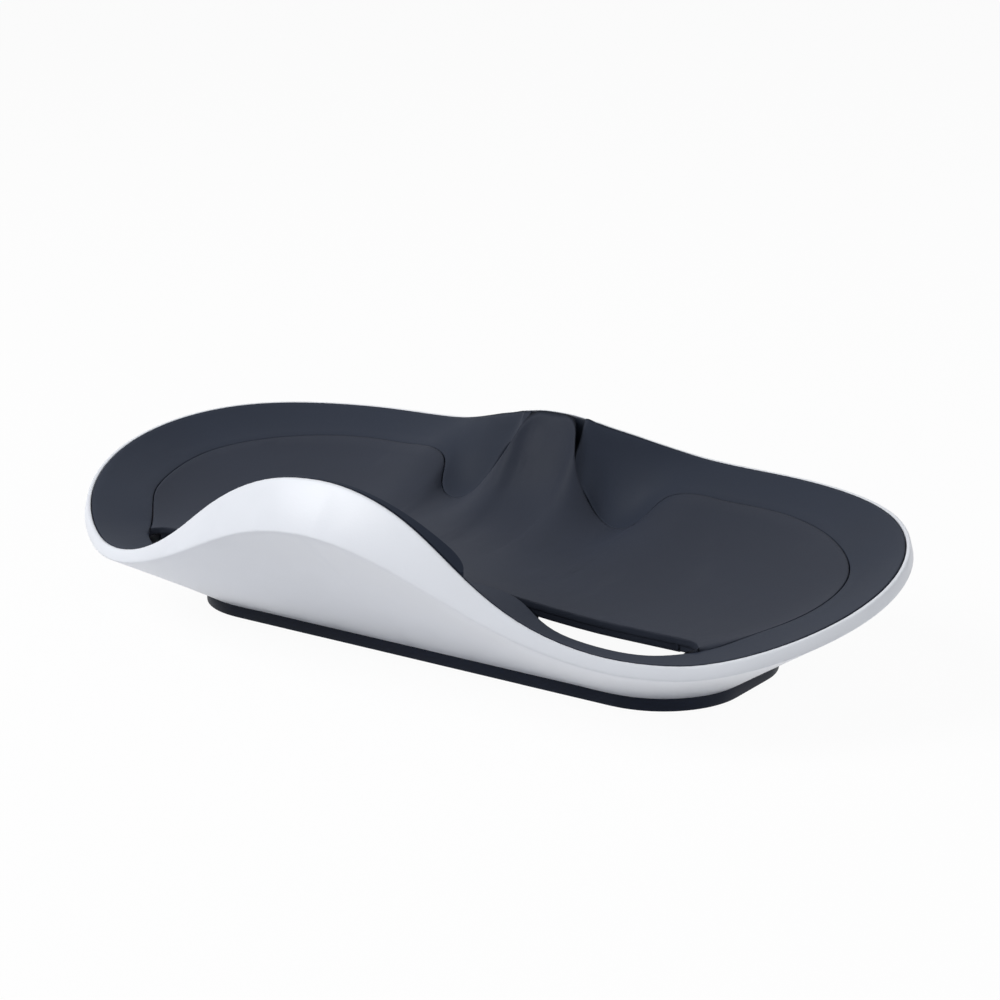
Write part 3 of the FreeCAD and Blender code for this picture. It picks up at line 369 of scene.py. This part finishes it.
def shell_finish(name, looks):
    """White outside, with painted shade in the lining's dark colour on the inner face that shows beside the tongue.
    """
    made = Finish(name)
    white, _, rough_field, relief = moulded_surface(
        made, looks.shell_colour, looks.shell_roughness, SHELL_VARIATION, looks.edge_rounding
    )
    facing = made.parts(made.node("ShaderNodeNewGeometry", {}, {}, "Normal"))
    place = made.parts(made.place)
    # Painted shade: the shell's inward-facing faces beside the tongue are coloured dark because they lie in shadow,
    # not because the plastic is dark there.
    shaded_inward_face = (0.0 - facing[1]).ramp(0.15, 0.35)
    painted_shade_beside_tongue = place[1].ramp(0.040, 0.046) * (1.0 - place[0].math("ABSOLUTE").ramp(0.040, 0.046))
    shown = made.mix(shaded_inward_face * painted_shade_beside_tongue, white, tinted(looks.lining_colour, 0.8))
    return made.shade(Base_Color=shown, Roughness=rough_field, Normal=relief, IOR=1.45)


def rubber_finish(name, colour):
    """Matt rubber with a little dust on it."""
    made = Finish(name)
    dust = made.noise(0.006, 4.0).ramp(0.52, 0.8)
    fine = made.noise(0.0003, 2.0)
    shown = made.mix(dust * 0.25, tinted(colour, 1.0), tinted(colour, 1.9))
    return made.shade(Base_Color=shown, Roughness=0.72 + 0.08 * fine, Normal=made.bump(fine, 0.00001), IOR=1.5)


def metal_finish(name, colour, roughness, streak):
    """Worked metal, with fine lines along the streak and faint tarnish."""
    made = Finish(name)
    lines = made.noise(0.0004, 2.0, streak)
    tarnish = made.noise(0.003, 3.0).ramp(0.5, 0.8)
    shown = made.mix(tarnish * 0.3, tinted(colour, 1.0), tinted(colour, 0.72))
    rough_field = roughness + 0.12 * lines + 0.1 * tarnish
    return made.shade(Base_Color=shown, Metallic=1.0, Roughness=rough_field, Normal=made.bump(lines, 0.000004))


def board_finish(name):
    """Solder resist over copper tracks, with bare pads."""
    made = Finish(name)
    brick = {"Vector": made.place, "Color1": (0, 0, 0, 1), "Color2": (0, 0, 0, 1), "Mortar": (1, 1, 1, 1)}
    brick.update({"Scale": 240.0, "Mortar Size": 0.014})
    tracks = made.node("ShaderNodeTexBrick", {"offset": 0.3}, brick, "Fac")
    pads = 1.0 - made.cells(0.0021).ramp(0.20, 0.24)
    resist = made.mix(tracks, (0.008, 0.085, 0.040, 1.0), (0.016, 0.16, 0.075, 1.0))
    shown = made.mix(pads, resist, (0.72, 0.62, 0.40, 1.0))
    return made.shade(
        Base_Color=shown, Metallic=pads * 0.9, Roughness=0.34 + 0.1 * made.noise(0.0008),
        Normal=made.bump(tracks + pads, 0.00003),
    )


# The pieces.
class STATION_OT_shell(Operator):
    """Makes the white outer shell with its softened rim and crease"""

    bl_idname = "station.shell"
    bl_label = "Outer shell"

    def execute(self, context):
        looks = context.scene.station_mouldings
        finish = shell_finish("white_moulding_and_painted_shade", looks)
        shell = take_copy("outer_shell", "shell_moulding")
        round_sharp_edges(shell, looks.edge_rounding, SHELL_CREASE)
        settle(shell, finish)
        return {"FINISHED"}


def relax_tongue(panel):
    """Evens out the flanks of the tongue, away from the panel's own edges."""
    edit_sharp_edges(panel, SHARP_EDGE)
    bpy.ops.object.mode_set(mode="OBJECT")
    mesh = panel.data
    edge_corners = {index for edge in mesh.edges if edge.select for index in edge.vertices}
    for face in mesh.polygons:
        face.select = False
    for edge in mesh.edges:
        edge.select = False
    for corner in mesh.vertices:
        near = abs(corner.co.x) < TONGUE_HALF_WIDTH and corner.co.y > 0.0
        corner.select = near and corner.index not in edge_corners
    bpy.ops.object.mode_set(mode="EDIT")
    bpy.ops.mesh.select_mode(type="VERT")
    bpy.ops.mesh.vertices_smooth(factor=0.5, repeat=TONGUE_PASSES)
    bpy.ops.object.mode_set(mode="OBJECT")


def hem_return(side, looks):
    """The end of the panel's turned-down front edge, where it curves forward to the lip."""
    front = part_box("base_frame")[0].y
    piece = added(
        "hem_return", bpy.ops.mesh.primitive_cube_add, size=1.0,
        location=(side * (HEM_START + HEM_END) / 2, front + HEM_INSET, HEM_TOP - HEM_DROP),
        scale=(HEM_END - HEM_START, HEM_THICKNESS, HEM_HEIGHT),
    )
    round_sharp_edges(piece, looks.edge_rounding / 2)
    pick(piece)
    bpy.ops.object.mode_set(mode="EDIT")
    bpy.ops.mesh.select_all(action="SELECT")
    bpy.ops.mesh.subdivide(number_cuts=5)
    bpy.ops.object.mode_set(mode="OBJECT")
    for corner in piece.data.vertices:
        past = max(0.0, (abs(corner.co.x) - BEND_START) / BEND_LENGTH)
        corner.co.y -= BEND_DEPTH * past ** 3
    return piece


class STATION_OT_lining(Operator):
    """Makes the dark lining, the two bowls of the floor panel and the cover behind them"""

    bl_idname = "station.lining"
    bl_label = "Lining and floor panel"

    def execute(self, context):
        looks = context.scene.station_mouldings
        soft = {"rounding": looks.edge_rounding}
        lining_finish = moulded_finish("lining_moulding", looks.lining_colour, looks.dark_roughness, 0.05, **soft)
        floor_finish = moulded_finish("floor_moulding", looks.floor_colour, looks.dark_roughness, 0.05, **soft)
        lining = take_copy("lining", "dished_lining")
        round_sharp_edges(lining, looks.edge_rounding)
        settle(lining, lining_finish, 40.0)
        panel = take_copy("floor_panel", "bowl_panel")
        relax_tongue(panel)
        round_sharp_edges(panel, looks.edge_rounding)
        panel = join_pieces([panel, hem_return(-1, looks), hem_return(1, looks)], "bowl_panel")
        settle(panel, floor_finish, 40.0)
        cover = take_copy("bay_cover", "bay_wall")
        settle(cover, moulded_finish("cover_moulding", looks.base_colour, 0.5, 0.05))
        return {"FINISHED"}


class STATION_OT_pad(Operator):
    """Makes the soft pad behind the hump's rim"""

    bl_idname = "station.pad"
    bl_label = "Hump pad"

    def execute(self, context):
        fittings = context.scene.station_fittings
        pad = take_copy("hump_pad", "hump_cushion_strip")
        settle(pad, moulded_finish("pad_rubber", fittings.pad_colour, 0.7, 0.05), 45.0)
        return {"FINISHED"}


class STATION_OT_base(Operator):
    """Makes the base frame and its four foot strips"""

    bl_idname = "station.base"
    bl_label = "Base and feet"

    def execute(self, context):
        looks = context.scene.station_mouldings
        fittings = context.scene.station_fittings
        base = take_copy("base_frame", "base_moulding")
        round_sharp_edges(base, fittings.edge_radius)
        settle(base, moulded_finish("base_plastic", looks.base_colour, 0.5, 0.06))
        rubber = rubber_finish("foot_rubber", fittings.rubber_colour)
        for end in ("front", "rear"):
            for side in ("left", "right"):
                node = "%s_foot_%s" % (end, side)
                low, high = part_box(node)
                strip = added(
                    "%s_%s_foot_strip" % (end, side), bpy.ops.mesh.primitive_cube_add,
                    size=1.0, location=(low + high) / 2, scale=high - low,
                )
                round_sharp_edges(strip, fittings.foot_radius, segments=3)
                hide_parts(node)
                settle(strip, rubber)
        return {"FINISHED"}


class STATION_OT_screws(Operator):
    """Makes the four base screws with their drive recesses, and the board's screws"""

    bl_idname = "station.screws"
    bl_label = "Screws"

    def execute(self, context):
        fittings = context.scene.station_fittings
        steel = metal_finish("screw_steel", fittings.steel_colour, 0.26, (1.0, 1.0, 0.2))
        screws = take_copy("base_screws", "base_screw_set")
        low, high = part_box("base_screws")
        cutters = [
            added(
                "screw_recess", bpy.ops.mesh.primitive_cylinder_add, vertices=RECESS_SIDES,
                radius=fittings.recess_radius, depth=2 * fittings.recess_depth, location=(x, y, low.z),
            )
            for x in (low.x + SCREW_HEAD_RADIUS, high.x - SCREW_HEAD_RADIUS)
            for y in (low.y + SCREW_HEAD_RADIUS, high.y - SCREW_HEAD_RADIUS)
        ]
        cutter = join_pieces(cutters, "screw_recess")
        pick(screws)
        modifier = screws.modifiers.new("Recess", "BOOLEAN")
        modifier.object = cutter
        modifier.operation = "DIFFERENCE"
        bpy.ops.object.modifier_apply(modifier="Recess")
        bpy.data.objects.remove(cutter)
        settle(screws, steel)
        dress("board_screws", steel)
        return {"FINISHED"}


class STATION_OT_sockets(Operator):
    """Makes the two charging sockets with their insulators and contact pins"""

    bl_idname = "station.sockets"
    bl_label = "Charging sockets"

    def execute(self, context):
        fittings = context.scene.station_fittings
        cup_finish = moulded_finish("socket_gloss", SOCKET_COLOUR, 0.26, 0.05, coat=0.3)
        block_finish = moulded_finish("insulator", INSULATOR_COLOUR, 0.4, 0.05)
        gold = metal_finish("pin_plating", fittings.pin_colour, 0.16, (1.0, 1.0, 1.0))
        for side in ("left", "right"):
            cup = take_copy("socket_" + side, side + "_socket_cup")
            round_sharp_edges(cup, fittings.edge_radius)
            settle(cup, cup_finish)
            pins = take_copy("contact_pins_" + side, side + "_contact_pins")
            round_sharp_edges(pins, PIN_ROUNDING, segments=3)
            settle(pins, gold)
            dress("contact_block_" + side, block_finish)
        return {"FINISHED"}


class STATION_OT_inlet(Operator):
    """Makes the power inlet in the back of the shell, with a plated barrel round its pin"""

    bl_idname = "station.inlet"
    bl_label = "Power inlet"

    def execute(self, context):
        fittings = context.scene.station_fittings
        inlet = take_copy("power_inlet", "inlet_housing")
        round_sharp_edges(inlet, fittings.edge_radius)
        settle(inlet, moulded_finish("inlet_plastic", INLET_COLOUR, 0.38, 0.05))
        low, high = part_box("power_inlet")
        barrel = added(
            "inlet_barrel", bpy.ops.mesh.primitive_cylinder_add,
            vertices=48, radius=BARREL_RADIUS, depth=BARREL_LENGTH, end_fill_type="NOTHING",
            location=((low.x + high.x) / 2, high.y - BARREL_LENGTH / 2 - BARREL_INSET, (low.z + high.z) / 2),
            rotation=(math.pi / 2, 0.0, 0.0),
        )
        wall = barrel.modifiers.new("Wall", "SOLIDIFY")
        wall.thickness = BARREL_WALL
        wall.offset = 0.0
        bpy.ops.object.modifier_apply(modifier="Wall")
        settle(barrel, metal_finish("barrel_plating", BARREL_COLOUR, 0.2, (1.0, 0.2, 1.0)))
        return {"FINISHED"}


class STATION_OT_electronics(Operator):
    """Dresses the board, what stands on it, its carrier and the leads inside the hump"""

    bl_idname = "station.electronics"
    bl_label = "Electronics"

    def execute(self, context):
        carrier = take_copy("board_carrier", "carrier_tray")
        settle(carrier, moulded_finish("carrier_plastic", CARRIER_COLOUR, 0.5, 0.06))
        dress("main_board", board_finish("solder_resist"))
        dress("board_parts", moulded_finish("component_resin", RESIN_COLOUR, 0.42, 0.08))
        sleeve = rubber_finish("lead_sleeve", SLEEVE_COLOUR)
        for node in ("lead_left", "lead_right", "inlet_lead"):
            dress(node, sleeve)
        return {"FINISHED"}


def area_light(name, place, size, power):
    """A round soft light that looks at the object."""
    light = bpy.data.lights.new(name, "AREA")
    light.shape = "DISK"
    light.size = size
    light.energy = power
    lamp = bpy.data.objects.new(name, light)
    bpy.context.scene.collection.objects.link(lamp)
    lamp.location = place
    lamp.rotation_euler = (Vector(LIGHT_AIM) - Vector(place)).to_track_quat("-Z", "Y").to_euler()


def show_plain(graph, lit, plain, share=1.0):
    """Shows a share of the plain shader to the eye, where the other one lights the object."""
    graph.show(graph.node("ShaderNodeMixShader", {}, {0: graph.seen_by_eye() * share, 1: lit, 2: plain}))


class STATION_OT_stage(Operator):
    """Makes the pale floor, the studio light and the camera at the photograph's angle"""

    bl_idname = "station.stage"
    bl_label = "Stage"

    def execute(self, context):
        stage = context.scene.station_stage
        floor = added("stage_floor", bpy.ops.mesh.primitive_plane_add, size=FLOOR_SPAN, location=(0.0, 0.0, 0.0))
        paint = bpy.data.materials.new("stage_white")
        graph = Graph(paint, "ShaderNodeOutputMaterial")
        diffuse = graph.node("ShaderNodeBsdfDiffuse", {}, {"Color": FLOOR_COLOUR})
        show_plain(graph, diffuse, graph.node("ShaderNodeEmission", {}, {}), stage.floor_lift)
        floor.data.materials.append(paint)

        world = bpy.data.worlds.new("studio")
        context.scene.world = world
        graph = Graph(world, "ShaderNodeOutputWorld")
        lit = graph.node("ShaderNodeBackground", {}, {"Strength": stage.sky_strength, "Color": SKY_COLOUR})
        plain = graph.node("ShaderNodeBackground", {}, {"Strength": 1.0, "Color": (1.0, 1.0, 1.0, 1.0)})
        show_plain(graph, lit, plain)

        area_light("key_light", (-0.75, -0.95, 1.15), 1.1, stage.key_power)
        area_light("fill_light", (1.5, -0.1, 0.55), 1.4, stage.fill_power)
        area_light("top_light", (0.1, 0.5, 1.5), 1.6, stage.fill_power * TOP_SHARE)

        lens = bpy.data.cameras.new("photo_camera")
        lens.lens = CAMERA_LENS
        lens.sensor_width = SENSOR_WIDTH
        camera = bpy.data.objects.new("photo_camera", lens)
        context.scene.collection.objects.link(camera)
        camera.location = CAMERA_PLACE
        camera.rotation_euler = (math.radians(CAMERA_TILT), 0.0, math.radians(CAMERA_TURN))
        context.scene.camera = camera
        context.scene.view_settings.view_transform = "Standard"
        return {"FINISHED"}


class STATION_PT_panel(Panel):
    """Lists the steps and their settings"""

    bl_idname = "STATION_PT_panel"
    bl_label = "Charging station"
    bl_space_type = "VIEW_3D"
    bl_region_type = "UI"
    bl_category = "Charging station"

    def draw(self, context):
        column = self.layout.column(align=True)
        for step in STEPS:
            column.operator(step.bl_idname)
        for group in (context.scene.station_mouldings, context.scene.station_fittings, context.scene.station_stage):
            box = self.layout.box().column()
            for key in group.bl_rna.properties.keys():
                if key not in ("rna_type", "name"):
                    box.prop(group, key)


STEPS = (
    STATION_OT_shell,
    STATION_OT_lining,
    STATION_OT_pad,
    STATION_OT_base,
    STATION_OT_screws,
    STATION_OT_sockets,
    STATION_OT_inlet,
    STATION_OT_electronics,
    STATION_OT_stage,
)
GROUPS = (StationMouldings, StationFittings, StationStage)


def register():
    for item in GROUPS + STEPS + (STATION_PT_panel,):
        bpy.utils.register_class(item)
    bpy.types.Scene.station_mouldings = PointerProperty(type=StationMouldings)
    bpy.types.Scene.station_fittings = PointerProperty(type=StationFittings)
    bpy.types.Scene.station_stage = PointerProperty(type=StationStage)


def unregister():
    del bpy.types.Scene.station_mouldings
    del bpy.types.Scene.station_fittings
    del bpy.types.Scene.station_stage
    for item in reversed(GROUPS + STEPS + (STATION_PT_panel,)):
        bpy.utils.unregister_class(item)


def main():
    register()
    bpy.ops.station.shell()
    bpy.ops.station.lining()
    bpy.ops.station.pad()
    bpy.ops.station.base()
    bpy.ops.station.screws()
    bpy.ops.station.sockets()
    bpy.ops.station.inlet()
    bpy.ops.station.electronics()
    bpy.ops.station.stage()


if __name__ == "__main__":
    main()
